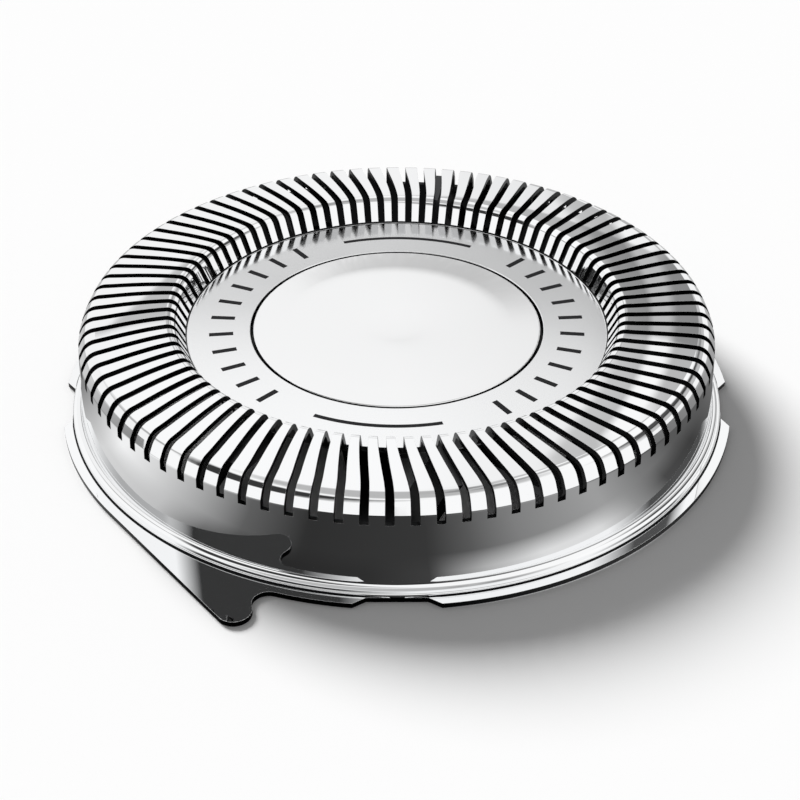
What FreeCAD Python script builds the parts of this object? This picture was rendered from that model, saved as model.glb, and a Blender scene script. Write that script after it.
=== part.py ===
import FreeCAD, Part
import math
import os

import Sketcher

# Rotary shaver head: a slotted steel guard cup with its centre cap and bearing bush,
# and the bladed cutter with its moulded drive coupling that turns inside it.
# Millimetres, +Z up along the head's axis, z = 0 on the flange's underside, -Y is the front.

os.makedirs("parts", exist_ok=True)

doc = FreeCAD.newDocument("rotary_shaver_head")

# How far an edge or face may lie from the place where it is looked for
EDGE_MATCH = 1e-4

# Driving dimensions

SIZES = {
    # guard cup
    "head_height": 3.6,
    "sheet_thickness": 0.18,
    "shoulder_radius": 11.04,
    "shoulder_depth": 0.66,
    "shoulder_slope": 0.44,
    "wall_draft": 0.16,
    "plateau_radius": 7.36,
    "plateau_depth": 0.85,
    "plateau_slope": 0.4,
    # flange with its lug and notches
    "foot_ledge": 0.3,
    "foot_height": 0.3,
    "flare_bevel": 0.2,
    "flange_width": 0.35,
    "lug_reach": 1.15,
    "lug_tip_round": 0.55,
    "lug_neck_round": 0.5,
    "lug_azimuth": 247.8,
    "notch_mouth": 3.0,
    "notch_root": 1.9,
    "notch_first_azimuth": 186.0,
    "notch_spread": 168.0,
    "notch_count": 3,
    # slots down both flanks of the track and slanting over its crest
    "slot_count": 90,
    "slot_width": 0.27,
    "slot_depth": 1.02,
    "slot_end_gap": 0.14,
    "slot_bend_gap": 0.16,
    "slot_sweep": 2.38,
    "slot_phase": -0.3,
    # centre cap in its recess
    "cap_radius": 5.1,
    "cap_thickness": 0.3,
    "cap_seam": 0.04,
    # bearing bush under the cap
    "bush_stem_radius": 2.0,
    "bush_collar_radius": 2.9,
    "bush_collar_thickness": 0.45,
    "bearing_radius": 1.0,
    "bearing_roof": 0.12,
    "running_clearance": 0.05,
    # cutter stamping
    "cutter_thickness": 0.3,
    "cutter_disc_radius": 5.4,
    "blade_count": 9,
    "blade_start_gap": 0.44,
    "blade_end_gap": 0.35,
    "blade_thickness": 0.32,
    "blade_lean": 30.0,
    "blade_lead": 0.2,
    "arm_width": 1.5,
    "blade_clearance": 0.05,
    # drive coupling
    "hub_neck_wall": 0.35,
    "hub_neck_round": 0.6,
    "hub_base_radius": 3.6,
    "hub_collar_radius": 3.0,
    "hub_collar_height": 0.57,
    "hub_edge_bevel": 0.2,
    "socket_radius": 1.25,
    "socket_roof": 0.37,
    "key_width": 0.7,
    "key_depth": 0.3,
}

sheet = doc.addObject("Spreadsheet::Sheet", "Sizes")
for row, (alias, number) in enumerate(SIZES.items(), start=1):
    sheet.set("A%d" % row, alias)
    sheet.set("B%d" % row, str(number))
    sheet.setAlias("B%d" % row, alias)
doc.recompute()


def worked_out(expression):
    """The number that an expression of the sheet's sizes gives."""
    return float(sheet.evalExpression(expression))


def origin_plane(body, role):
    """One of a body's own origin planes."""
    return next(feature for feature in body.Origin.OriginFeatures if feature.Role == role)


def new_body(label):
    """An empty body under its own label."""
    body = doc.addObject("PartDesign::Body", label)
    body.Label = label
    return body


def new_sketch(body, name, role="XY_Plane", height=None, turn=None):
    """A sketch on an origin plane, raised by height and turned about the plane's normal."""
    sketch = body.newObject("Sketcher::SketchObject", name)
    sketch.AttachmentSupport = (origin_plane(body, role), [""])
    sketch.MapMode = "FlatFace"
    sketch.Visibility = False
    upright = FreeCAD.Vector(0, 0, 1)
    if turn is not None:
        sketch.AttachmentOffset = FreeCAD.Placement(FreeCAD.Vector(), FreeCAD.Rotation(upright, 1))
        sketch.setExpression("AttachmentOffset.Rotation.Angle", turn)
    if height is not None:
        sketch.setExpression("AttachmentOffset.Base.z", height)
    return sketch


def bind(sketch, constraint, expression):
    """Adds a constraint and ties its value to an expression."""
    index = sketch.addConstraint(constraint)
    sketch.setExpression("Constraints[%d]" % index, expression)


def pin_point(sketch, edge, end, x, y):
    """Ties a point of a sketch to its two coordinates, given as expressions."""
    for kind, axis, expression in (("DistanceX", -2, x), ("DistanceY", -1, y)):
        value = worked_out(expression)
        if value == 0:
            sketch.addConstraint(Sketcher.Constraint("PointOnObject", edge, end, axis))
        else:
            bind(sketch, Sketcher.Constraint(kind, -1, 1, edge, end, value), expression)


def add_polygon(sketch, corners):
    """A closed outline through corners given as pairs of expressions, or triples with a round."""
    points = [FreeCAD.Vector(worked_out(corner[0]), worked_out(corner[1]), 0) for corner in corners]
    count = len(points)
    starts = list(points)
    ends = list(points)
    arcs = {}
    for i, corner in enumerate(corners):
        if len(corner) == 3:
            arcs[i], ends[i], starts[i] = corner_arc(points, i, worked_out(corner[2]))
    first = sketch.GeometryCount
    for i in range(count):
        sketch.addGeometry(Part.LineSegment(starts[i], ends[(i + 1) % count]), False)
    for i, corner in enumerate(corners):
        incoming = first + (i - 1) % count
        outgoing = first + i
        if i not in arcs:
            sketch.addConstraint(Sketcher.Constraint("Coincident", incoming, 2, outgoing, 1))
            pin_point(sketch, outgoing, 1, corner[0], corner[1])
            continue
        arc = sketch.addGeometry(arcs[i], False)
        sharp = sketch.addGeometry(Part.Point(points[i]), True)
        pin_point(sketch, sharp, 1, corner[0], corner[1])
        near = 1 if arcs[i].StartPoint.distanceToPoint(ends[i]) < EDGE_MATCH else 2
        sketch.addConstraint([
            Sketcher.Constraint("PointOnObject", sharp, 1, incoming),
            Sketcher.Constraint("PointOnObject", sharp, 1, outgoing),
            Sketcher.Constraint("Tangent", incoming, 2, arc, near),
            Sketcher.Constraint("Tangent", arc, 3 - near, outgoing, 1),
        ])
        bind(sketch, Sketcher.Constraint("Radius", arc, arcs[i].Radius), corner[2])


def corner_arc(points, index, radius):
    """The arc that rounds one corner of an outline, with the points where it meets both edges."""
    corner = points[index]
    back = (points[index - 1] - corner).normalize()
    ahead = (points[(index + 1) % len(points)] - corner).normalize()
    half = back.getAngle(ahead) / 2
    reach = radius / math.tan(half)
    centre = corner + (back + ahead).normalize() * (radius / math.sin(half))
    near = corner + back * reach
    far = corner + ahead * reach
    circle = Part.Circle(centre, FreeCAD.Vector(0, 0, 1), radius)
    turns_left = (back.x * ahead.y - back.y * ahead.x) < 0
    first, last = (near, far) if turns_left else (far, near)
    angles = [math.atan2(point.y - centre.y, point.x - centre.x) for point in (first, last)]
    return Part.ArcOfCircle(circle, *angles), near, far


def add_circle(sketch, radius):
    """A circle about the sketch's origin."""
    upright = FreeCAD.Vector(0, 0, 1)
    edge = sketch.addGeometry(Part.Circle(FreeCAD.Vector(), upright, worked_out(radius)), False)
    sketch.addConstraint(Sketcher.Constraint("Coincident", edge, 3, -1, 1))
    bind(sketch, Sketcher.Constraint("Radius", edge, worked_out(radius)), radius)
    return edge


def revolve(body, name, corners):
    """A full turn about the head's axis of an outline in radius and height."""
    sketch = new_sketch(body, name + "_section", "XZ_Plane")
    add_polygon(sketch, corners)
    feature = body.newObject("PartDesign::Revolution", name)
    feature.Profile = sketch
    feature.ReferenceAxis = (sketch, ["V_Axis"])
    feature.Angle = 360
    doc.recompute()
    return feature


def pad(body, name, sketch, length):
    """Material raised from a sketch."""
    feature = body.newObject("PartDesign::Pad", name)
    feature.Profile = sketch
    feature.setExpression("Length", length)
    doc.recompute()
    return feature


def pocket(body, name, sketch, length, upward=False):
    """Material cut away from a sketch, downward unless told otherwise."""
    feature = body.newObject("PartDesign::Pocket", name)
    feature.Profile = sketch
    feature.setExpression("Length", length)
    feature.Reversed = upward
    doc.recompute()
    return feature


def polar_pattern(body, name, originals, spread, count):
    """Copies of features about the head's axis."""
    pattern = body.newObject("PartDesign::PolarPattern", name)
    pattern.Originals = originals
    pattern.Axis = (origin_axis(body, "Z_Axis"), [""])
    if spread == "360":
        pattern.Angle = 360
    else:
        pattern.setExpression("Angle", spread)
    pattern.setExpression("Occurrences", count)
    body.Tip = pattern
    doc.recompute()
    return pattern


def origin_axis(body, role):
    """One of a body's own origin axes."""
    return next(feature for feature in body.Origin.OriginFeatures if feature.Role == role)


def ring_edges(feature, radius, height):
    """Names of a feature's circular edges about the axis at one radius and height."""
    wanted_radius = worked_out(radius)
    wanted_height = worked_out(height)
    names = []
    for index, edge in enumerate(feature.Shape.Edges, start=1):
        if not isinstance(edge.Curve, Part.Circle):
            continue
        off_radius = abs(edge.Curve.Radius - wanted_radius)
        off_height = abs(edge.Curve.Center.z - wanted_height)
        off_axis = math.hypot(edge.Curve.Center.x, edge.Curve.Center.y)
        if max(off_radius, off_height, off_axis) < EDGE_MATCH:
            names.append("Edge%d" % index)
    return names


def flat_face(feature, height):
    """The name of a feature's level face at one height."""
    wanted = worked_out(height)
    for index, face in enumerate(feature.Shape.Faces, start=1):
        level = isinstance(face.Surface, Part.Plane) and abs(face.CenterOfMass.z - wanted) < EDGE_MATCH
        if level:
            return "Face%d" % index
    raise ValueError("no level face at %s" % height)


def add_flange_outline(sketch):
    """The flange's rim with its lug along the sketch's x axis: rim, lug flank, lug tip and lug neck."""
    rim = worked_out(FLANGE_RADIUS)
    tip = worked_out("Sizes.lug_tip_round")
    neck = worked_out("Sizes.lug_neck_round")
    reach = worked_out(LUG_CENTRE_RADIUS)
    upright = FreeCAD.Vector(0, 0, 1)
    tip_centre = FreeCAD.Vector(reach, 0, 0)
    # the straight flank touches the rim and the lug's tip on the side behind the front
    flank = math.acos((rim - tip) / reach)
    flank_side = FreeCAD.Vector(math.cos(flank), -math.sin(flank), 0)
    # the neck is hollow and touches the rim and the lug's tip on the other side
    neck_x = ((rim + neck) ** 2 + reach ** 2 - (tip + neck) ** 2) / (2 * reach)
    neck_centre = FreeCAD.Vector(neck_x, math.sqrt((rim + neck) ** 2 - neck_x ** 2), 0)
    to_tip = tip_centre - neck_centre
    neck_at_tip = math.atan2(to_tip.y, to_tip.x)
    neck_at_rim = math.atan2(neck_centre.y, neck_centre.x) - math.pi
    rim_circle = Part.Circle(FreeCAD.Vector(), upright, rim)
    tip_circle = Part.Circle(tip_centre, upright, tip)
    neck_circle = Part.Circle(neck_centre, upright, neck)
    rim_arc = sketch.addGeometry(
        Part.ArcOfCircle(rim_circle, neck_at_rim + math.pi, 2 * math.pi - flank), False)
    flank_line = sketch.addGeometry(
        Part.LineSegment(flank_side * rim, tip_centre + flank_side * tip), False)
    tip_arc = sketch.addGeometry(Part.ArcOfCircle(tip_circle, -flank, neck_at_tip + math.pi), False)
    neck_arc = sketch.addGeometry(Part.ArcOfCircle(neck_circle, neck_at_rim, neck_at_tip), False)
    sketch.addConstraint([
        Sketcher.Constraint("Coincident", rim_arc, 3, -1, 1),
        Sketcher.Constraint("PointOnObject", tip_arc, 3, -1),
        Sketcher.Constraint("Tangent", rim_arc, 2, flank_line, 1),
        Sketcher.Constraint("Tangent", flank_line, 2, tip_arc, 1),
        Sketcher.Constraint("Tangent", tip_arc, 2, neck_arc, 2),
        Sketcher.Constraint("Tangent", neck_arc, 1, rim_arc, 1),
    ])
    bind(sketch, Sketcher.Constraint("Radius", rim_arc, rim), FLANGE_RADIUS)
    bind(sketch, Sketcher.Constraint("Radius", tip_arc, tip), "Sizes.lug_tip_round")
    bind(sketch, Sketcher.Constraint("Radius", neck_arc, neck), "Sizes.lug_neck_round")
    bind(sketch, Sketcher.Constraint("DistanceX", -1, 1, tip_arc, 3, reach), LUG_CENTRE_RADIUS)


def bevel_ring(body, name, radius, height, size):
    """An even bevel on the ring edges of one radius and height."""
    base = body.Tip
    feature = body.newObject("PartDesign::Chamfer", name)
    feature.Base = (base, ring_edges(base, radius, height))
    feature.setExpression("Size", size)
    doc.recompute()
    return feature


# Guard cup: one drawn sheet with a recessed plateau, a raised track, a wall and a flange

CREST = "Sizes.head_height"
PLATEAU = "Sizes.head_height - Sizes.plateau_depth"
RECESS = PLATEAU + " - Sizes.cap_thickness"
RECESS_RADIUS = "Sizes.cap_radius + Sizes.cap_seam"
CROWN_RADIUS = "Sizes.shoulder_radius - Sizes.shoulder_slope"
TRACK_INNER_RADIUS = "Sizes.plateau_radius + Sizes.plateau_slope"
WALL_BASE_RADIUS = "Sizes.shoulder_radius + Sizes.wall_draft"
WALL_INSIDE = WALL_BASE_RADIUS + " - Sizes.sheet_thickness"
WALL_AT_FOOT = (
    WALL_BASE_RADIUS + " - Sizes.wall_draft * Sizes.foot_height"
    " / (Sizes.head_height - Sizes.shoulder_depth)")
FOOT_RADIUS = WALL_BASE_RADIUS + " + Sizes.foot_ledge"
FLANGE_RADIUS = FOOT_RADIUS + " + Sizes.flange_width"
BEYOND_FLANGE = FLANGE_RADIUS + " + Sizes.flange_width"
LUG_CENTRE_RADIUS = FLANGE_RADIUS + " + Sizes.lug_reach"
SLOT_INNER_RADIUS = "(Sizes.plateau_radius + Sizes.slot_end_gap)"
SLOT_OUTER_RADIUS = "(" + FOOT_RADIUS + ")"
SLOT_INNER_BEND = "(" + TRACK_INNER_RADIUS + " + Sizes.slot_bend_gap)"
SLOT_OUTER_BEND = "(" + CROWN_RADIUS + " - Sizes.slot_bend_gap)"

# Heights of the bearing and the cutter, down from the recess that carries them

SHEET_UNDERSIDE = RECESS + " - Sizes.sheet_thickness"
COLLAR_UNDERSIDE = SHEET_UNDERSIDE + " - Sizes.bush_collar_thickness"
BEARING_ROOF = RECESS + " - Sizes.bearing_roof"
HUB_TOP = COLLAR_UNDERSIDE + " - Sizes.running_clearance"
SOCKET_DEPTH = HUB_TOP + " - Sizes.socket_roof"
NOSE_TOP = BEARING_ROOF + " - Sizes.running_clearance"
NOSE_RADIUS = "Sizes.bearing_radius - Sizes.running_clearance"
CUTTER_TOP = HUB_TOP + " - Sizes.hub_collar_height"
CUTTER_UNDERSIDE = CUTTER_TOP + " - Sizes.cutter_thickness"

# The blades' place under the track, and the squared neck that the cutter grips

BLADE_INNER_RADIUS = TRACK_INNER_RADIUS + " + Sizes.blade_start_gap"
BLADE_OUTER_RADIUS = CROWN_RADIUS + " - Sizes.blade_end_gap"
BLADE_LENGTH = "(" + BLADE_OUTER_RADIUS + ") - (" + BLADE_INNER_RADIUS + ")"
BLADE_TOP = CREST + " - Sizes.sheet_thickness - Sizes.blade_clearance"
BLADE_RISE = "(" + BLADE_TOP + " - (" + CUTTER_UNDERSIDE + "))"
BLADE_FOOT = "Sizes.blade_lead - " + BLADE_RISE + " * tan(Sizes.blade_lean)"
BLADE_WIDTH = "Sizes.blade_thickness / cos(Sizes.blade_lean)"
KEY_REACH = "(Sizes.socket_radius + Sizes.key_depth)"
NECK_REACH = "(" + KEY_REACH + " + Sizes.hub_neck_wall)"
NECK = [
    (across + NECK_REACH, along + NECK_REACH, "Sizes.hub_neck_round")
    for across, along in (("-", "-"), ("", "-"), ("", ""), ("-", ""))
]


def slot_corner(radius, bend, turn, side):
    """A slot's corner at one radius, on the ray through the slot's edge at its inner or outer bend."""
    aside = "%s * Sizes.slot_width / 2 / %s * 180 / pi" % (side, bend)
    angle = "(%s * Sizes.slot_sweep / 2 + %s)" % (turn, aside)
    return "%s * cos(%s)" % (radius, angle), "%s * sin(%s)" % (radius, angle)


guard = new_body("guard_cup")
cup = revolve(guard, "cup", [
    ("0", "0"),
    (WALL_BASE_RADIUS, "0"),
    ("Sizes.shoulder_radius", CREST + " - Sizes.shoulder_depth"),
    (CROWN_RADIUS, CREST),
    (TRACK_INNER_RADIUS, CREST),
    ("Sizes.plateau_radius", PLATEAU),
    (RECESS_RADIUS, PLATEAU),
    (RECESS_RADIUS, RECESS),
    ("0", RECESS),
])

hollow = guard.newObject("PartDesign::Thickness", "hollow")
hollow.Base = (cup, [flat_face(cup, "0")])
hollow.setExpression("Value", "Sizes.sheet_thickness")
hollow.Reversed = True
hollow.Join = "Intersection"
doc.recompute()

foot_sketch = new_sketch(guard, "foot_outline")
add_circle(foot_sketch, FOOT_RADIUS)
add_circle(foot_sketch, WALL_INSIDE)
pad(guard, "foot", foot_sketch, "Sizes.foot_height")

flange_sketch = new_sketch(guard, "flange_outline", turn="Sizes.lug_azimuth")
add_flange_outline(flange_sketch)
add_circle(flange_sketch, WALL_INSIDE)
pad(guard, "flange", flange_sketch, "Sizes.sheet_thickness")
bevel_ring(guard, "flare", WALL_AT_FOOT, "Sizes.foot_height", "Sizes.flare_bevel")

notch_sketch = new_sketch(guard, "notch_outline", height="Sizes.sheet_thickness", turn="Sizes.notch_first_azimuth")
add_polygon(notch_sketch, [
    (FOOT_RADIUS, "-Sizes.notch_root / 2"),
    (FLANGE_RADIUS, "-Sizes.notch_mouth / 2"),
    (BEYOND_FLANGE, "-Sizes.notch_mouth / 2"),
    (BEYOND_FLANGE, "Sizes.notch_mouth / 2"),
    (FLANGE_RADIUS, "Sizes.notch_mouth / 2"),
    (FOOT_RADIUS, "Sizes.notch_root / 2"),
])
notch = pocket(guard, "notch", notch_sketch, "Sizes.sheet_thickness")
polar_pattern(guard, "notches", [notch], "Sizes.notch_spread", "Sizes.notch_count")

stem_hole_sketch = new_sketch(guard, "stem_hole_outline", height=RECESS)
add_circle(stem_hole_sketch, "Sizes.bush_stem_radius")
pocket(guard, "stem_hole", stem_hole_sketch, "Sizes.sheet_thickness")

slot_sketch = new_sketch(guard, "slot_outline", height=CREST, turn="Sizes.slot_phase")
add_polygon(slot_sketch, [
    slot_corner(SLOT_INNER_RADIUS, SLOT_INNER_BEND, "-1", "-1"),
    slot_corner(SLOT_INNER_BEND, SLOT_INNER_BEND, "-1", "-1"),
    slot_corner(SLOT_OUTER_BEND, SLOT_OUTER_BEND, "1", "-1"),
    slot_corner(SLOT_OUTER_RADIUS, SLOT_OUTER_BEND, "1", "-1"),
    slot_corner(SLOT_OUTER_RADIUS, SLOT_OUTER_BEND, "1", "1"),
    slot_corner(SLOT_OUTER_BEND, SLOT_OUTER_BEND, "1", "1"),
    slot_corner(SLOT_INNER_BEND, SLOT_INNER_BEND, "-1", "1"),
    slot_corner(SLOT_INNER_RADIUS, SLOT_INNER_BEND, "-1", "1"),
])
slot = pocket(guard, "slot", slot_sketch, "Sizes.slot_depth")
polar_pattern(guard, "slots", [slot], "360", "Sizes.slot_count")

# Centre cap: a flat disc pressed into the recess, flush with the plateau

centre_cap = new_body("centre_cap")
revolve(centre_cap, "cap", [
    ("0", RECESS),
    ("Sizes.cap_radius", RECESS),
    ("Sizes.cap_radius", PLATEAU),
    ("0", PLATEAU),
])

# Bearing bush: its stem fills the guard's hole and its blind bore carries the coupling's nose

bearing_bush = new_body("bearing_bush")
revolve(bearing_bush, "bush", [
    ("0", RECESS),
    ("Sizes.bush_stem_radius", RECESS),
    ("Sizes.bush_stem_radius", SHEET_UNDERSIDE),
    ("Sizes.bush_collar_radius", SHEET_UNDERSIDE),
    ("Sizes.bush_collar_radius", COLLAR_UNDERSIDE),
    ("Sizes.bearing_radius", COLLAR_UNDERSIDE),
    ("Sizes.bearing_radius", BEARING_ROOF),
    ("0", BEARING_ROOF),
])

# Cutter: one stamping, a disc with arms whose ends are bent up into leaning blades

cutter_blades = new_body("cutter_blades")
disc_sketch = new_sketch(cutter_blades, "disc_outline", height=CUTTER_UNDERSIDE)
add_circle(disc_sketch, "Sizes.cutter_disc_radius")
pad(cutter_blades, "disc", disc_sketch, "Sizes.cutter_thickness")

arm_sketch = new_sketch(cutter_blades, "arm_outline", height=CUTTER_UNDERSIDE)
add_polygon(arm_sketch, [
    ("0", BLADE_FOOT + " - Sizes.arm_width"),
    (BLADE_OUTER_RADIUS, BLADE_FOOT + " - Sizes.arm_width"),
    (BLADE_OUTER_RADIUS, BLADE_FOOT),
    ("0", BLADE_FOOT),
])
arm = pad(cutter_blades, "arm", arm_sketch, "Sizes.cutter_thickness")

blade_sketch = new_sketch(cutter_blades, "blade_outline", "YZ_Plane", height=BLADE_INNER_RADIUS)
add_polygon(blade_sketch, [
    (BLADE_FOOT + " - " + BLADE_WIDTH, CUTTER_UNDERSIDE),
    (BLADE_FOOT, CUTTER_UNDERSIDE),
    ("Sizes.blade_lead", BLADE_TOP),
    ("Sizes.blade_lead - " + BLADE_WIDTH, BLADE_TOP),
])
blade = pad(cutter_blades, "blade", blade_sketch, BLADE_LENGTH)
polar_pattern(cutter_blades, "arms_and_blades", [arm, blade], "360", "Sizes.blade_count")

neck_hole_sketch = new_sketch(cutter_blades, "neck_hole_outline", height=CUTTER_TOP)
add_polygon(neck_hole_sketch, NECK)
pocket(cutter_blades, "neck_hole", neck_hole_sketch, "Sizes.cutter_thickness")

# Drive coupling: moulded through the cutter, with the spindle's socket below and a nose above

drive_coupling = new_body("drive_coupling")
revolve(drive_coupling, "base", [
    ("0", "0"),
    ("Sizes.hub_base_radius - Sizes.hub_edge_bevel", "0"),
    ("Sizes.hub_base_radius", "Sizes.hub_edge_bevel"),
    ("Sizes.hub_base_radius", CUTTER_UNDERSIDE),
    ("0", CUTTER_UNDERSIDE),
])
neck_sketch = new_sketch(drive_coupling, "neck_outline", height=CUTTER_UNDERSIDE)
add_polygon(neck_sketch, NECK)
pad(drive_coupling, "neck", neck_sketch, "Sizes.cutter_thickness")
revolve(drive_coupling, "collar_and_nose", [
    ("0", CUTTER_TOP),
    ("Sizes.hub_collar_radius", CUTTER_TOP),
    ("Sizes.hub_collar_radius", HUB_TOP),
    (NOSE_RADIUS, HUB_TOP),
    (NOSE_RADIUS, NOSE_TOP + " - Sizes.hub_edge_bevel"),
    (NOSE_RADIUS + " - Sizes.hub_edge_bevel", NOSE_TOP),
    ("0", NOSE_TOP),
])
socket_sketch = new_sketch(drive_coupling, "socket_outline")
add_circle(socket_sketch, "Sizes.socket_radius")
pocket(drive_coupling, "socket", socket_sketch, SOCKET_DEPTH, upward=True)
keys_sketch = new_sketch(drive_coupling, "keys_outline")
add_polygon(keys_sketch, [
    ("-" + KEY_REACH, "-Sizes.key_width / 2"),
    (KEY_REACH, "-Sizes.key_width / 2"),
    (KEY_REACH, "Sizes.key_width / 2"),
    ("-" + KEY_REACH, "Sizes.key_width / 2"),
])
pocket(drive_coupling, "keys", keys_sketch, SOCKET_DEPTH, upward=True)

# Check and write each piece

doc.recompute()
failed = [item.Name for item in doc.Objects if {"Invalid", "Error"} & set(item.State)]
pieces = [guard, centre_cap, bearing_bush, cutter_blades, drive_coupling]
for piece in pieces:
    if piece.Shape.isNull() or not piece.Shape.isValid() or len(piece.Shape.Solids) != 1:
        failed.append(piece.Label)
if failed:
    raise RuntimeError("not built: " + ", ".join(failed))
for piece in pieces:
    piece.Shape.exportStep("parts/%s.step" % piece.Label)
    print("%s %.4f mm3" % (piece.Label, piece.Shape.Volume))
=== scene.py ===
import math

import bmesh
import bpy
import numpy as np
from mathutils import Matrix, Vector


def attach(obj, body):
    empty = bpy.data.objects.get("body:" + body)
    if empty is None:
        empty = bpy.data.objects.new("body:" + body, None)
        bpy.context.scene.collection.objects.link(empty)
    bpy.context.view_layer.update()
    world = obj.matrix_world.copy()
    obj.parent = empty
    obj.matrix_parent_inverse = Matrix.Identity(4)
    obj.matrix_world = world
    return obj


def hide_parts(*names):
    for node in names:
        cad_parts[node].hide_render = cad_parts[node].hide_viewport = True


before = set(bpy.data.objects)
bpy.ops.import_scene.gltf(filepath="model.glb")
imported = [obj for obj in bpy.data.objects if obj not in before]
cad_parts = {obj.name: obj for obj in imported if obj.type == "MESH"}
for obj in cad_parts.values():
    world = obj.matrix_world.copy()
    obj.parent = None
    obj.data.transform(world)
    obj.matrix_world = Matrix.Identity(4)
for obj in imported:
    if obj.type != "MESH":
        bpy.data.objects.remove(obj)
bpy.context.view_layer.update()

# The scene is in metres, and the head's own sizes below are in millimetres
MM = 0.001

# Guard: the sheet and where its outside surface runs, as radius, height and round
SHEET = 0.18
CREST = 3.6
PLATEAU = 2.75
RECESS = 2.45
CAP_RADIUS = 5.04
RECESS_RADIUS = 5.14
PLATEAU_RADIUS = 7.36
STEM_HOLE_RADIUS = 2.0
FOOT_RADIUS = 11.5
FOOT_HEIGHT = 0.3
FOOT_END = 0.09
SMALLEST_ROUND = 0.01
ROW_MARGIN = 0.02
GUARD_CORNERS = [
    (STEM_HOLE_RADIUS, RECESS, 0.0),
    (RECESS_RADIUS, RECESS, 0.03),
    (RECESS_RADIUS, PLATEAU, 0.03),
    (PLATEAU_RADIUS, PLATEAU, 0.06),
    (7.76, CREST, 0.4),
    (9.35, CREST, 30.0),
    (10.76, 3.5, 0.55),
    (11.04, 2.94, 0.2),
    (11.185, FOOT_HEIGHT, 0.22),
    (FOOT_RADIUS, FOOT_HEIGHT, 0.05),
    (FOOT_RADIUS, FOOT_END, 0.0),
]
# A round is cut into steps no longer than either of these
ARC_STEP = math.radians(9)
ARC_RUN = 0.35

# Slots straight down both flanks of the track and slanting over its crest between two soft bends
SLOT_COUNT = 90
SLOT_WIDTH = 0.27
SLOT_BENDS = (7.92, 10.44)
BEND_REACH = 0.22
SLOT_SWEEP = math.radians(2.38)
SLOT_PHASE = math.radians(-0.3)
SLOT_START_HEIGHT = 2.81
SLOT_END_HEIGHT = 2.62
SLOT_EDGE_ROUND = 0.035
# Each slot is one column of faces and each bar three, and the wall below is cut evenly
BAR_COLUMNS = 3
PITCH_COLUMNS = BAR_COLUMNS + 1
COLUMNS = SLOT_COUNT * PITCH_COLUMNS
EVEN_DROP = 0.08

# Flange with its lug and notches
FLANGE_RADIUS = 11.85
FLANGE_INNER = 11.3
FLANGE_EDGE_ROUND = 0.06
FLANGE_CORNER = 0.05
RIM_STEPS = 60
LEAST_GAP = 0.01
LEAST_TURN = 1e-4
LUG_AZIMUTH = math.radians(247.8)
LUG_CENTRE = 13.0
LUG_TIP_ROUND = 0.55
LUG_NECK_ROUND = 0.5
TIP_STEPS = 18
NECK_STEPS = 12
FLANK_STEPS = 24
NOTCH_AZIMUTHS = [math.radians(a) for a in (186, 270, 354)]
NOTCH_MOUTH = 3.0
NOTCH_ROOT = 1.9

# The guard's material slots: polished steel, near-black steel as painted shade, and satin steel
POLISHED, PAINTED_SHADE, SATIN = range(3)

# Columns of a turned piece
TURN_COLUMNS = 256
# Broad faces keep their own normals, and faces within this many square millimetres share one
BROAD_FACES_FIRST = 100
EQUAL_AREA = 0.0002


def rounded_rows(corners, offset):
    """Points along a line of corners moved sideways by offset, its rounds cut into even steps."""
    points = [Vector((r, z)) for r, z, _ in corners]
    runs = [(b - a).normalized() for a, b in zip(points, points[1:])]
    sides = [Vector((run.y, -run.x)) for run in runs]
    rows = [points[0] + sides[0] * offset]
    for i in range(1, len(points) - 1):
        before, after = runs[i - 1], runs[i]
        turn = math.atan2(before.x * after.y - before.y * after.x, before.dot(after))
        # the two neighbouring runs, moved aside, meet here
        corner = points[i] + (sides[i - 1] + sides[i]) * offset / (1 + before.dot(after))
        size = corners[i][2]
        if size == 0:
            rows.append(corner)
            continue
        steps = max(2, math.ceil(abs(turn) / ARC_STEP), math.ceil(abs(turn) * size / ARC_RUN))
        radius = max(size + math.copysign(offset, turn), SMALLEST_ROUND)
        start = corner - before * radius * math.tan(abs(turn) / 2)
        left = Vector((-before.y, before.x)) * math.copysign(1, turn)
        centre = start + left * radius
        for step in range(steps + 1):
            rows.append(centre + Matrix.Rotation(turn * step / steps, 2) @ (start - centre))
    rows.append(points[-1] + sides[-1] * offset)
    return rows


def put_row(rows, twins, axis, value, first):
    """Adds a row to both sides of the sheet where the outside reaches a value, and gives its index."""
    for i in range(first, len(rows) - 1):
        low, high = rows[i][axis], rows[i + 1][axis]
        if min(low, high) < value < max(low, high):
            share = (value - low) / (high - low)
            rows.insert(i + 1, rows[i].lerp(rows[i + 1], share))
            twins.insert(i + 1, twins[i].lerp(twins[i + 1], share))
            return i + 1
    raise ValueError("the sheet doesn't reach %g" % value)


def slot_edge(radius, side):
    """The angle at which a slot's edge crosses a radius."""
    inner, outer = SLOT_BENDS
    share = (radius - inner) / (outer - inner)
    # both bends are eased into short curves
    if abs(share) < BEND_REACH:
        share = (share + BEND_REACH) ** 2 / (4 * BEND_REACH)
    elif abs(share - 1) < BEND_REACH:
        share = 1 - (1 - share + BEND_REACH) ** 2 / (4 * BEND_REACH)
    middle = SLOT_SWEEP * (min(max(share, 0), 1) - 0.5)
    return middle + side * SLOT_WIDTH / 2 / min(max(radius, inner), outer)


def ring_angles(radius):
    """The guard's column angles at one radius: both edges of each slot, then the bar between."""
    low, high = slot_edge(radius, -1), slot_edge(radius, 1)
    pitch = 2 * math.pi / SLOT_COUNT
    angles = []
    for k in range(SLOT_COUNT):
        angles.append(low)
        for step in range(BAR_COLUMNS):
            angles.append(high + (low + pitch - high) * step / BAR_COLUMNS)
    turn = np.repeat(np.arange(SLOT_COUNT) * pitch + SLOT_PHASE, PITCH_COLUMNS)
    return np.array(angles) + turn


def even_angles():
    """Evenly spaced column angles for the wall below the slots."""
    step = 2 * math.pi / COLUMNS
    return np.arange(COLUMNS) * step + SLOT_PHASE + (SLOT_SWEEP - step) / 2


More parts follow.
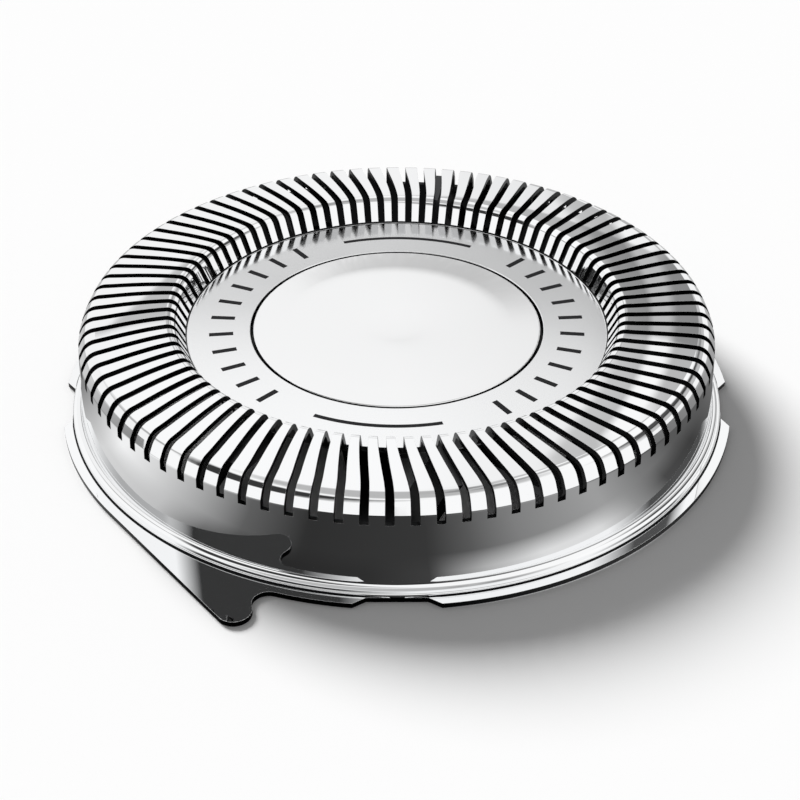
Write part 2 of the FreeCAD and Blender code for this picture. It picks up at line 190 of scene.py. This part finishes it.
def mesh_object(name, bm):
    """An object that holds a finished bmesh, smooth and still in millimetres."""
    bmesh.ops.recalc_face_normals(bm, faces=bm.faces)
    mesh = bpy.data.meshes.new(name)
    for face in bm.faces:
        face.smooth = True
    bm.to_mesh(mesh)
    bm.free()
    made = bpy.data.objects.new(name, mesh)
    bpy.context.collection.objects.link(made)
    return made


def skin_slot(outside, i, on_top, plateau_end, first):
    """The material slot of a skin's faces between two rows."""
    inner, outer = outside[i], outside[i + 1]
    if on_top and inner.x > RECESS_RADIUS and outer.x < PLATEAU_RADIUS - ROW_MARGIN:
        return SATIN
    # the recess under the cap, the track's toe and the inside of track and wall get near-black steel as
    # painted shade
    in_recess = outer.y < PLATEAU - ROW_MARGIN and outer.x < PLATEAU_RADIUS
    at_toe = plateau_end - 2 <= i < first
    inside_cup = not on_top and i >= first
    return PAINTED_SHADE if in_recess or at_toe or inside_cup else POLISHED


def guard_sheet():
    """The slotted sheet as one closed skin, with its slot rims marked for rounding."""
    outside = rounded_rows(GUARD_CORNERS, 0)
    inside = rounded_rows(GUARD_CORNERS, SHEET)
    plateau_end = next(i for i, row in enumerate(outside) if row.x > PLATEAU_RADIUS)
    first = put_row(outside, inside, 1, SLOT_START_HEIGHT, plateau_end)
    last = put_row(outside, inside, 1, SLOT_END_HEIGHT, first + 1)
    even = put_row(outside, inside, 1, SLOT_END_HEIGHT - EVEN_DROP, last)
    slot_start, slot_end = outside[first].x, outside[last].x
    bm = bmesh.new()
    rim = bm.edges.layers.float.new("bevel_weight_edge")
    rim_weight = SLOT_EDGE_ROUND / FLANGE_EDGE_ROUND
    skins = []
    for rows in (outside, inside):
        skin = []
        for i, row in enumerate(rows):
            angles = even_angles() if i >= even else ring_angles(min(max(row.x, slot_start), slot_end))
            skin.append([bm.verts.new((row.x * math.cos(a), row.x * math.sin(a), row.y)) for a in angles])
        skins.append(skin)
    top, under = skins
    for skin in skins:
        for i in range(len(skin) - 1):
            slot = skin_slot(outside, i, skin is top, plateau_end, first)
            for j in range(COLUMNS):
                if first <= i < last and j % PITCH_COLUMNS == 0:
                    continue
                k = (j + 1) % COLUMNS
                face = bm.faces.new((skin[i][j], skin[i][k], skin[i + 1][k], skin[i + 1][j]))
                face.material_index = slot
    for i in (0, len(top) - 1):
        for j in range(COLUMNS):
            k = (j + 1) % COLUMNS
            bm.faces.new((top[i][j], top[i][k], under[i][k], under[i][j]))
    # The slot walls and ends are near-black steel, painted shade inside the slots
    for j in range(0, COLUMNS, PITCH_COLUMNS):
        k = j + 1
        for i in range(first, last):
            for c in (j, k):
                wall = bm.faces.new((top[i][c], top[i + 1][c], under[i + 1][c], under[i][c]))
                wall.material_index = PAINTED_SHADE
                bm.edges.get((top[i][c], top[i + 1][c]))[rim] = rim_weight
                bm.edges.get((under[i][c], under[i + 1][c])).smooth = False
        for i in (first, last):
            wall = bm.faces.new((top[i][j], top[i][k], under[i][k], under[i][j]))
            wall.material_index = PAINTED_SHADE
            bm.edges.get((top[i][j], top[i][k]))[rim] = rim_weight
            bm.edges.get((under[i][j], under[i][k])).smooth = False
            for c in (j, k):
                bm.edges.get((top[i][c], under[i][c])).smooth = False
    return mesh_object("guard_sheet", bm)


def arc_points(centre, radius, start, end, steps):
    """Points along an arc of a circle, both ends among them."""
    turns = [start + (end - start) * step / steps for step in range(steps + 1)]
    return [centre + radius * Vector((math.cos(a), math.sin(a))) for a in turns]


def turned(points, angle):
    """Points turned about the head's axis."""
    return [Matrix.Rotation(angle, 2) @ point for point in points]


def notch_corners():
    """One notch's corners about the x axis, clockwise side first."""
    slope = (NOTCH_MOUTH - NOTCH_ROOT) / 2 / (FLANGE_RADIUS - FOOT_RADIUS)
    foot = NOTCH_ROOT / 2 - slope * FOOT_RADIUS
    # the slanting side y = foot + slope * x meets the rim here
    a, b, c = 1 + slope ** 2, slope * foot, foot ** 2 - FLANGE_RADIUS ** 2
    mouth_x = (-b + math.sqrt(b * b - a * c)) / a
    mouth = Vector((mouth_x, foot + slope * mouth_x))
    root = Vector((FOOT_RADIUS, NOTCH_ROOT / 2))
    return [Vector((p.x, -p.y)) for p in (mouth, root)] + [root, mouth]


def rim_arc(start, end):
    """Points along the flange's rim."""
    return arc_points(Vector((0, 0)), FLANGE_RADIUS, start, end, math.ceil((end - start) * RIM_STEPS))


def flange_outline():
    """The flange's rim, anticlockwise from the lug's neck round to the lug's tip."""
    rim = FLANGE_RADIUS
    tip_centre = Vector((LUG_CENTRE, 0))
    neck_reach = rim + LUG_NECK_ROUND
    flank = math.acos((rim - LUG_TIP_ROUND) / LUG_CENTRE)
    between = LUG_TIP_ROUND + LUG_NECK_ROUND
    neck_x = (neck_reach ** 2 + LUG_CENTRE ** 2 - between ** 2) / (2 * LUG_CENTRE)
    neck_centre = Vector((neck_x, math.sqrt(neck_reach ** 2 - neck_x ** 2)))
    to_tip = tip_centre - neck_centre
    neck_at_tip = math.atan2(to_tip.y, to_tip.x)
    neck_at_rim = math.atan2(neck_centre.y, neck_centre.x)
    notch = notch_corners()
    half = math.atan2(notch[-1].y, notch[-1].x)
    outline = []
    at = neck_at_rim
    for azimuth in sorted((a - LUG_AZIMUTH) % (2 * math.pi) for a in NOTCH_AZIMUTHS):
        outline += rim_arc(at, azimuth - half)[:-1]
        outline += turned(notch[:-1], azimuth)
        at = azimuth + half
    end = 2 * math.pi - flank
    outline += rim_arc(at, end)
    away = Vector((math.cos(flank), -math.sin(flank)))
    flank_start, flank_end = away * rim, tip_centre + away * LUG_TIP_ROUND
    outline += [flank_start.lerp(flank_end, step / FLANK_STEPS) for step in range(1, FLANK_STEPS)]
    outline += arc_points(tip_centre, LUG_TIP_ROUND, -flank, neck_at_tip + math.pi, TIP_STEPS)
    outline += arc_points(neck_centre, LUG_NECK_ROUND, neck_at_tip, neck_at_rim - math.pi, NECK_STEPS)[1:-1]
    return turned(outline, LUG_AZIMUTH)


def flange_plate():
    """The flat flange as a closed ring from inside the sheet's foot out to the rim."""
    outline = flange_outline()
    # the lug's hook turns back on itself, and the rings inside the rim don't
    angles = np.unwrap([math.atan2(point.y, point.x) for point in outline])
    angles = np.maximum.accumulate(angles) + np.linspace(0, LEAST_TURN, len(angles))
    corner = [min(FOOT_RADIUS + FLANGE_CORNER, point.length - LEAST_GAP) for point in outline]
    inner = [FLANGE_INNER] * len(outline)
    bm = bmesh.new()
    rim = bm.edges.layers.float.new("bevel_weight_edge")
    top_corner, top_inner, low_inner = [
        [bm.verts.new((r * math.cos(a), r * math.sin(a), z)) for r, a in zip(radii, angles)]
        for radii, z in ((corner, SHEET), (inner, SHEET), (inner, 0.0))
    ]
    top_rim, low_rim = [[bm.verts.new((p.x, p.y, z)) for p in outline] for z in (SHEET, 0.0)]
    for loops in ((top_rim, top_corner), (low_rim, low_inner)):
        edges = [bm.edges.new((loop[j - 1], loop[j])) for loop in loops for j in range(len(loop))]
        bmesh.ops.triangle_fill(bm, use_beauty=True, edges=edges, normal=(0, 0, 1))
    # The flange's rim edge and its hidden faces are near-black steel, a painted shade line along the edge
    for j in range(len(outline)):
        k = (j + 1) % len(outline)
        for one, two in ((top_corner, top_inner), (top_rim, low_rim), (top_inner, low_inner)):
            bm.faces.new((one[j], one[k], two[k], two[j])).material_index = PAINTED_SHADE
        for loop in (top_rim, low_rim):
            bm.edges.get((loop[j], loop[k]))[rim] = 1
    return mesh_object("guard_flange", bm)


def lathe(name, rows):
    """A closed turned solid from rows of radius and height that start and end on the axis."""
    turns = [2 * math.pi * j / TURN_COLUMNS for j in range(TURN_COLUMNS)]
    bm = bmesh.new()
    rings = []
    for r, z in rows:
        spots = [(r * math.cos(a), r * math.sin(a), z) for a in turns] if r else [(0, 0, z)]
        rings.append([bm.verts.new(spot) for spot in spots])
    for one, two in zip(rings, rings[1:]):
        for j in range(TURN_COLUMNS):
            k = (j + 1) % TURN_COLUMNS
            corners = [one[j % len(one)], one[k % len(one)], two[k % len(two)], two[j % len(two)]]
            bm.faces.new(list(dict.fromkeys(corners)))
    return mesh_object(name, bm)


def finish_mesh(piece, edge_round=0):
    """Rounds the marked edges, lets broad faces keep their own normals, and scales the mesh to metres."""
    if edge_round:
        bevel = piece.modifiers.new("edge_round", "BEVEL")
        bevel.width = edge_round
        bevel.segments = 2
        bevel.limit_method = "WEIGHT"
        bevel.miter_outer = "MITER_ARC"
    normals = piece.modifiers.new("face_normals", "WEIGHTED_NORMAL")
    normals.keep_sharp = True
    normals.weight = BROAD_FACES_FIRST
    normals.thresh = EQUAL_AREA
    shown = piece.evaluated_get(bpy.context.evaluated_depsgraph_get())
    rough, piece.data = piece.data, bpy.data.meshes.new_from_object(shown)
    piece.data.transform(Matrix.Scale(MM, 4))
    piece.modifiers.clear()
    bpy.data.meshes.remove(rough)


def join(into, *others):
    """Joins other objects into one."""
    with bpy.context.temp_override(active_object=into, selected_editable_objects=[into, *others]):
        bpy.ops.object.join()
    return into


# Materials: each noise as its scale and detail, and depths in millimetres

CLOUDS = (260.0, 3.0)
SCRATCHES = (9000.0, 2.0)
SCRATCH_STRETCH = (1.0, 0.08, 1.0)
SCRATCH_DEPTH = 0.002
GRAIN = (4000.0, 4.0)
GRAIN_STRENGTH = 0.3
GRAIN_DEPTH = 0.01
SHEEN_SPREAD = 0.08
INK_SHEEN = 0.12
BRIGHT_STEEL = ((0.95, 0.956, 0.962), (0.925, 0.931, 0.938))


def new_material(name):
    """A material with its shader and the tools to wire it."""
    material = bpy.data.materials.new(name)
    material.use_nodes = True
    tree = material.node_tree
    return material, tree.nodes, tree.links, tree.nodes["Principled BSDF"]


def noise(nodes, links, vector, scale, detail):
    """A noise laid over a place."""
    made = nodes.new("ShaderNodeTexNoise")
    made.inputs["Scale"].default_value = scale
    made.inputs["Detail"].default_value = detail
    links.new(vector, made.inputs["Vector"])
    return made.outputs["Fac"]


def vary(nodes, links, shader, source, dark, light, roughness, spread):
    """Lets a noise move a shader's colour and roughness."""
    tone = nodes.new("ShaderNodeMix")
    tone.data_type = "RGBA"
    tone.inputs["A"].default_value = (*dark, 1)
    tone.inputs["B"].default_value = (*light, 1)
    links.new(source, tone.inputs["Factor"])
    links.new(tone.outputs["Result"], shader.inputs["Base Color"])
    gloss = nodes.new("ShaderNodeMapRange")
    gloss.inputs["To Min"].default_value = roughness - spread
    gloss.inputs["To Max"].default_value = roughness + spread
    links.new(source, gloss.inputs["Value"])
    links.new(gloss.outputs["Result"], shader.inputs["Roughness"])


def emboss(nodes, links, shader, source, strength, depth):
    """Lets a noise raise a shader's surface."""
    bump = nodes.new("ShaderNodeBump")
    bump.inputs["Strength"].default_value = strength
    bump.inputs["Distance"].default_value = depth * MM
    links.new(source, bump.inputs["Height"])
    links.new(bump.outputs["Normal"], shader.inputs["Normal"])


def steel(name, light, dark, roughness, spread, scratch):
    """Polished steel: a little cloudy in tone and gloss, with faint fine scratches."""
    material, nodes, links, shader = new_material(name)
    shader.inputs["Metallic"].default_value = 1.0
    place = nodes.new("ShaderNodeTexCoord").outputs["Object"]
    vary(nodes, links, shader, noise(nodes, links, place, *CLOUDS), dark, light, roughness, spread)
    stretch = nodes.new("ShaderNodeMapping")
    stretch.inputs["Scale"].default_value = SCRATCH_STRETCH
    links.new(place, stretch.inputs["Vector"])
    scratches = noise(nodes, links, stretch.outputs["Vector"], *SCRATCHES)
    emboss(nodes, links, shader, scratches, scratch, SCRATCH_DEPTH)
    return material


def plastic(name, light, dark, roughness):
    """Moulded plastic with a fine grain and an uneven sheen."""
    material, nodes, links, shader = new_material(name)
    place = nodes.new("ShaderNodeTexCoord").outputs["Object"]
    grain = noise(nodes, links, place, *GRAIN)
    vary(nodes, links, shader, grain, dark, light, roughness, SHEEN_SPREAD)
    emboss(nodes, links, shader, grain, GRAIN_STRENGTH, GRAIN_DEPTH)
    return material


polished = steel("polished_steel", *BRIGHT_STEEL, 0.03, 0.01, 0.02)
satin_steel = steel("satin_steel", *BRIGHT_STEEL, 0.12, 0.02, 0.05)
cap_steel = steel("cap_steel", (0.955, 0.957, 0.96), (0.935, 0.938, 0.942), 0.025, 0.008, 0.02)
# Near-black steel: painted shade on the slot walls, the recess under the cap, the track's toe, the guard's
# insides and the flange's edges
painted_shade_steel = steel("painted_shade_steel", (0.014, 0.0145, 0.015), (0.007, 0.0075, 0.008), 0.35, 0.06, 0.5)
# The cutter's steel is darkened to near black, painted shade seen through the slots
cutter_steel = steel("painted_shade_cutter", (0.06, 0.061, 0.063), (0.03, 0.031, 0.032), 0.36, 0.08, 0.6)
bush_plastic = plastic("bush_plastic", (0.8, 0.8, 0.77), (0.74, 0.74, 0.71), 0.42)
coupling_plastic = plastic("coupling_plastic", (0.035, 0.038, 0.042), (0.02, 0.022, 0.025), 0.4)
ink = plastic("black_ink", (0.012, 0.012, 0.013), (0.006, 0.006, 0.007), 0.5)
ink.node_tree.nodes["Principled BSDF"].inputs["Specular IOR Level"].default_value = INK_SHEEN

# Guard

guard = guard_sheet()
flange = flange_plate()
for piece in (guard, flange):
    for material in (polished, painted_shade_steel, satin_steel):
        piece.data.materials.append(material)
guard = join(guard, flange)
guard.name = "guard_shell"
finish_mesh(guard, FLANGE_EDGE_ROUND)
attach(guard, "guard")
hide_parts("guard_cup")

# Centre cap

CAP_EDGE = 0.04
CAP_EDGE_TURNS = (0, 22.5, 45, 67.5, 90)
CAP_LIFT = 0.002
CAP_DISH = 0.049
CAP_RINGS = (4.99, 4.6, 4.1, 3.5, 2.8, 2.0, 1.0, 0)
cap_flat = CAP_RADIUS - CAP_EDGE
cap_rows = [(0, RECESS + CAP_LIFT), (cap_flat, RECESS + CAP_LIFT), (CAP_RADIUS, RECESS + CAP_EDGE)]
cap_rows += [
    (cap_flat + CAP_EDGE * math.cos(a), PLATEAU - CAP_EDGE * (1 - math.sin(a)))
    for a in map(math.radians, CAP_EDGE_TURNS)
]
cap_rows += [(r, PLATEAU - CAP_DISH * (1 - (r / cap_flat) ** 2)) for r in CAP_RINGS]
cap = lathe("centre_disc", cap_rows)
cap.data.materials.append(cap_steel)
finish_mesh(cap)
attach(cap, "guard")
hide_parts("centre_cap")


def dress(node, material):
    """Gives a CAD node a finish."""
    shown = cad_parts[node]
    for place in shown.material_slots:
        place.material = material


dress("bearing_bush", bush_plastic)
# The cutter wears the darkened steel, painted shade inside the head
dress("cutter_blades", cutter_steel)
dress("drive_coupling", coupling_plastic)

# Printed marks on the plateau: two plain arcs and plain ticks

MARK_TOP = PLATEAU + 0.006
MARK_FOOT = PLATEAU - 0.02
ARC_RADIUS = 6.15
ARC_WIDTH = 0.16
ARC_STEPS = 32
# Each arc's middle and half its reach in degrees, and the ticks that follow it
ARCS = ((-96, 19.9), (86, 23))
FIRST_TICK = 40
TICK_PITCH = 10
TICK_COUNT = 11
TICK_RADII = (5.73, 6.57)
TICK_HALF_WIDTH = 0.1


def add_mark(bm, corners):
    """A flat patch of ink, given its corners in order."""
    top = [bm.verts.new((x, y, MARK_TOP)) for x, y in corners]
    foot = [bm.verts.new((x, y, MARK_FOOT)) for x, y in corners]
    bm.faces.new(top)
    bm.faces.new(foot)
    for j in range(len(corners)):
        k = (j + 1) % len(corners)
        bm.faces.new((top[j], top[k], foot[k], foot[j]))


marks = bmesh.new()
for middle, arc_half in ARCS:
    start, end = math.radians(middle - arc_half), math.radians(middle + arc_half)
    far, near = [
        arc_points(Vector((0, 0)), ARC_RADIUS + side * ARC_WIDTH / 2, start, end, ARC_STEPS)
        for side in (1, -1)
    ]
    add_mark(marks, far + near[::-1])
    low, high = TICK_RADII
    tick = [(low, -1), (high, -1), (high, 1), (low, 1)]
    tick = [Vector((r, side * TICK_HALF_WIDTH)) for r, side in tick]
    for step in range(TICK_COUNT):
        add_mark(marks, turned(tick, math.radians(middle + FIRST_TICK + TICK_PITCH * step)))
print_marks = mesh_object("plateau_marks", marks)
for face in print_marks.data.polygons:
    face.use_smooth = False
print_marks.data.materials.append(ink)
finish_mesh(print_marks)
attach(print_marks, "guard")

# Nodes of the tree at hand, for the floor and the room

def math_node(operation, one, two=None, three=None):
    """A sum done on a node's output."""
    made = nodes.new("ShaderNodeMath")
    made.operation = operation
    for socket, value in zip(made.inputs, (one, two, three)):
        if isinstance(value, bpy.types.NodeSocket):
            links.new(value, socket)
        elif value is not None:
            socket.default_value = value
    return made.outputs["Value"]


def product(*values):
    """Values multiplied together."""
    total = values[0]
    for value in values[1:]:
        total = math_node("MULTIPLY", total, value)
    return total


def leant(value, slope, other):
    """A value with another added to it at a slope."""
    return math_node("MULTIPLY_ADD", other, slope, value)


def rises(value, low, high, start=0.0, end=1.0):
    """A value that runs from start to end while another runs from low to high."""
    made = nodes.new("ShaderNodeMapRange")
    for name, number in (("From Min", low), ("From Max", high), ("To Min", start), ("To Max", end)):
        made.inputs[name].default_value = number
    links.new(value, made.inputs["Value"])
    return made.outputs["Result"]


def tone_ramp(source, tones):
    """Greys laid out along a value from 0 to 1."""
    made = nodes.new("ShaderNodeValToRGB")
    stops = made.color_ramp.elements
    for index, (at, tone) in enumerate(tones):
        stop = stops[0] if index == 0 else stops[-1] if index == len(tones) - 1 else stops.new(at)
        stop.position = at
        stop.color = (tone, tone, tone, 1)
    links.new(source, made.inputs["Fac"])
    return made.outputs["Color"]


def mix(factor, one, two):
    """A blend of two colours, each a grey or a node's output."""
    made = nodes.new("ShaderNodeMix")
    made.data_type = "RGBA"
    links.new(factor, made.inputs["Factor"])
    for name, colour in (("A", one), ("B", two)):
        if isinstance(colour, bpy.types.NodeSocket):
            links.new(colour, made.inputs[name])
        else:
            made.inputs[name].default_value = (colour, colour, colour, 1)
    return made.outputs["Result"]


# Floor, and what only the steel sees of it

FLOOR_RADIUS = 2.0
FLOOR_COLUMNS = 96
FLOOR_TONE = 0.94
FLOOR_ROUGHNESS = 0.9
FLOOR_DROP = 0.02
MIRROR_DROP = 0.03


def flat_disc(name, drop):
    """A level disc of the stage, a little under the head."""
    bm = bmesh.new()
    down = Matrix.Translation((0, 0, -drop * MM))
    bmesh.ops.create_circle(bm, cap_ends=True, segments=FLOOR_COLUMNS, radius=FLOOR_RADIUS, matrix=down)
    mesh = bpy.data.meshes.new(name)
    bm.to_mesh(mesh)
    bm.free()
    made = bpy.data.objects.new(name, mesh)
    bpy.context.collection.objects.link(made)
    return made


floor = flat_disc("floor", FLOOR_DROP)
floor_paint, nodes, links, shader = new_material("floor_paint")
shader.inputs["Base Color"].default_value = (FLOOR_TONE, FLOOR_TONE, FLOOR_TONE, 1)
shader.inputs["Roughness"].default_value = FLOOR_ROUGHNESS
shader.inputs["Specular IOR Level"].default_value = 0.0
floor.data.materials.append(floor_paint)
floor.visible_glossy = False

# A glowing disc under the floor, seen only in the steel, is a painted reflection of the floor, given by
# azimuth in degrees and tone; its near tones paint the head's shadow and a lit patch on the floor beside it
NEAR_REACH = 12.4
FAR_REACH = 13.4
FAR_TONES = [
    (-180, 0.25), (-172, 0.45), (-157, 0.95), (-145, 0.7), (-133, 0.42), (-121, 0.12), (-108, 0.03),
    (-84, 0.04), (-76, 0.1), (-66, 0.22), (-47, 0.36), (-35, 0.2), (-22, 0.1), (-4, 0.11),
    (12, 0.35), (60, 0.6), (120, 0.5), (168, 0.65), (180, 0.25),
]
NEAR_TONES = [
    (-180, 0.25), (-171, 0.47), (-160, 0.7), (-150, 0.65), (-139, 0.55), (-128, 0.13), (-118, 0.02),
    (-95, 0.03), (-84, 0.05), (-74, 0.45), (-63, 0.75), (-51, 0.75), (-41, 0.3), (-31, 0.07),
    (-18, 0.05), (0, 0.15), (60, 0.5), (140, 0.5), (180, 0.25),
]
mirror_floor = flat_disc("floor_seen_in_steel", MIRROR_DROP)
mirror_floor.visible_camera = False
mirror_floor.visible_diffuse = False
mirror_floor.visible_shadow = False
mirror_floor.visible_transmission = False
seen, nodes, links, shader = new_material("floor_seen_in_steel")
nodes.remove(shader)
place = nodes.new("ShaderNodeTexCoord").outputs["Object"]
split = nodes.new("ShaderNodeSeparateXYZ")
links.new(place, split.inputs["Vector"])
azimuth = rises(math_node("ARCTAN2", split.outputs["Y"], split.outputs["X"]), -math.pi, math.pi)
near_tones, far_tones = [
    tone_ramp(azimuth, [((degrees + 180) / 360, tone) for degrees, tone in tones])
    for tones in (NEAR_TONES, FAR_TONES)
]
reach = nodes.new("ShaderNodeVectorMath")
reach.operation = "LENGTH"
links.new(place, reach.inputs[0])
tones = mix(rises(reach.outputs["Value"], NEAR_REACH * MM, FAR_REACH * MM), near_tones, far_tones)
# The disc glows with these tones, a painted reflection with painted shadow near the head
glow = nodes.new("ShaderNodeEmission")
links.new(tones, glow.inputs["Color"])
links.new(glow.outputs["Emission"], nodes["Material Output"].inputs["Surface"])
mirror_floor.data.materials.append(seen)

# Room: white to the camera, a level light for the rest, and a bright room with boards for the steel

ROOM_LEVEL = 0.27
PANELS = [
    (0.0, 0.99), (0.03, 0.96), (0.06, 0.92), (0.12, 0.89), (0.135, 0.58), (0.168, 0.52),
    (0.18, 0.98), (0.205, 0.98), (0.22, 0.5), (0.27, 0.48), (0.3, 1.0), (1.0, 1.0),
]
CEILING_EDGE = (0.53, 0.575)
CEILING_TONES = (0.96, 1.02)
SKIRTING_LEAN = 0.25
SKIRTING_EDGE = (0.2, 0.26)
SIDES_MEET = (-0.05, 0.05)
OVERHEAD = (0.88, 0.94)
OVERHEAD_TONES = (1.0, 0.5)
# How dark a board is, and its edges: what x, y and z of the direction in which it is seen count
# for, then the sum at which the board ends and the sum from which it is whole
BACK_BOARD_DEPTH = 0.43
BACK_BOARD = [((0.2, 0, 1), 0.466, 0.472), ((-0.03, 0, 1), 0.5315, 0.5285)]
LEFT_STRIP_DEPTH = 0.55
LEFT_STRIP = [
    ((1, 0, 0), -0.5, -0.75), ((0, 1, 0), -0.25, 0.0),
    ((0, 0, 1), 0.5, 0.54), ((0, 0, 1), 0.63, 0.6),
]
LEFT_BOARD_DEPTH = 0.96
LEFT_BOARD = [
    ((0, 1, -0.7), -0.44, -0.6), ((1, 0, -1.12), -0.764, -1.084),
    ((0, 0, 1), 0.38, 0.44), ((0, 0, 1), 0.85, 0.8),
]
RIGHT_BOARD_DEPTH = 0.92
RIGHT_BOARD = [
    ((1, 0, -1.6), -0.516, -0.416), ((0, 1, 0), -0.15, 0.15), ((0, 1, 2.2), 2.05, 1.85),
    ((0, 0, 1), 0.46, 0.52), ((0, 0, 1), 0.78, 0.72),
]
world = bpy.data.worlds.new("room")
bpy.context.scene.world = world
world.use_nodes = True
nodes, links = world.node_tree.nodes, world.node_tree.links
path = nodes.new("ShaderNodeLightPath").outputs
direction = nodes.new("ShaderNodeTexCoord").outputs["Generated"]
split = nodes.new("ShaderNodeSeparateXYZ")
links.new(direction, split.inputs["Vector"])
x, y, z = (split.outputs[axis] for axis in "XYZ")


def board(edges):
    """How much of a board is seen: 1 within all its edges and 0 past any of them."""
    within = []
    for weights, ends, whole in edges:
        made = nodes.new("ShaderNodeVectorMath")
        made.operation = "DOT_PRODUCT"
        made.inputs[1].default_value = weights
        links.new(direction, made.inputs[0])
        within.append(rises(made.outputs["Value"], ends, whole))
    return product(*within)


# Behind the head the room is bright, with one level grey board just under the ceiling's edge
behind = leant(rises(z, *CEILING_EDGE, *CEILING_TONES), -BACK_BOARD_DEPTH, board(BACK_BOARD))
behind = product(behind, tone_ramp(x, PANELS))
# On the camera's side it is bright down to a dark skirting
skirting = rises(leant(z, SKIRTING_LEAN, math_node("ABSOLUTE", x)), *SKIRTING_EDGE)
apart = math_node("SUBTRACT", behind, skirting)
walls = math_node("MULTIPLY_ADD", apart, rises(y, *SIDES_MEET), skirting)
# The strip is far out on the left, and the two dark boards stand left and right beside the camera
for edges, depth in (
    (LEFT_STRIP, LEFT_STRIP_DEPTH), (LEFT_BOARD, LEFT_BOARD_DEPTH), (RIGHT_BOARD, RIGHT_BOARD_DEPTH),
):
    walls = product(walls, leant(1.0, -depth, board(edges)))
seen_in_steel = product(walls, rises(z, *OVERHEAD, *OVERHEAD_TONES))
# Steel shows the room only where the camera looks at it, so it throws none of it onto the floor
looked_at = math_node("LESS_THAN", path["Diffuse Depth"], 0.5)
for_steel = mix(product(path["Is Glossy Ray"], looked_at), ROOM_LEVEL, seen_in_steel)
links.new(mix(path["Is Camera Ray"], for_steel, 1.0), nodes["Background"].inputs["Color"])

# One soft lamp from behind on the left, which lays the shadow to the front right

WINDOW_POWER = 4.25
WINDOW_ANGLE = math.radians(26)
TO_WINDOW = Vector((-0.47, 0.67, 0.574))
sun = bpy.data.lights.new("window", "SUN")
sun.energy = WINDOW_POWER
sun.angle = WINDOW_ANGLE
window = bpy.data.objects.new("window", sun)
bpy.context.collection.objects.link(window)
window.rotation_euler = TO_WINDOW.to_track_quat("Z", "Y").to_euler()
window.visible_glossy = False

# Camera: the photo's place, turned onto the head, with a longer lens for the one head

SENSOR = 36.0
IMAGE_SIDE = 800
PHOTO_ELEVATION = math.radians(31.5)
PHOTO_DISTANCE = 58.3
PHOTO_FOCUS = 795.0
CLOSER = 2.1
AIM = Vector((1.5, 46.0))
camera = bpy.data.cameras.new("camera")
camera.sensor_width = SENSOR
camera.lens = PHOTO_FOCUS * CLOSER / IMAGE_SIDE * SENSOR
camera.clip_start = 0.001
camera.clip_end = 10.0
eye = bpy.data.objects.new("camera", camera)
bpy.context.collection.objects.link(eye)
back = Vector((0, -math.cos(PHOTO_ELEVATION), math.sin(PHOTO_ELEVATION)))
eye.location = (Vector((0, 0, CREST)) + back * PHOTO_DISTANCE) * MM
look = (-back).to_track_quat("-Z", "Y").to_matrix()
aim = look @ Vector((AIM.x, -AIM.y, -PHOTO_FOCUS)).normalized()
eye.rotation_euler = aim.to_track_quat("-Z", "Y").to_euler()
bpy.context.scene.camera = eye
bpy.context.scene.view_settings.view_transform = "Standard"
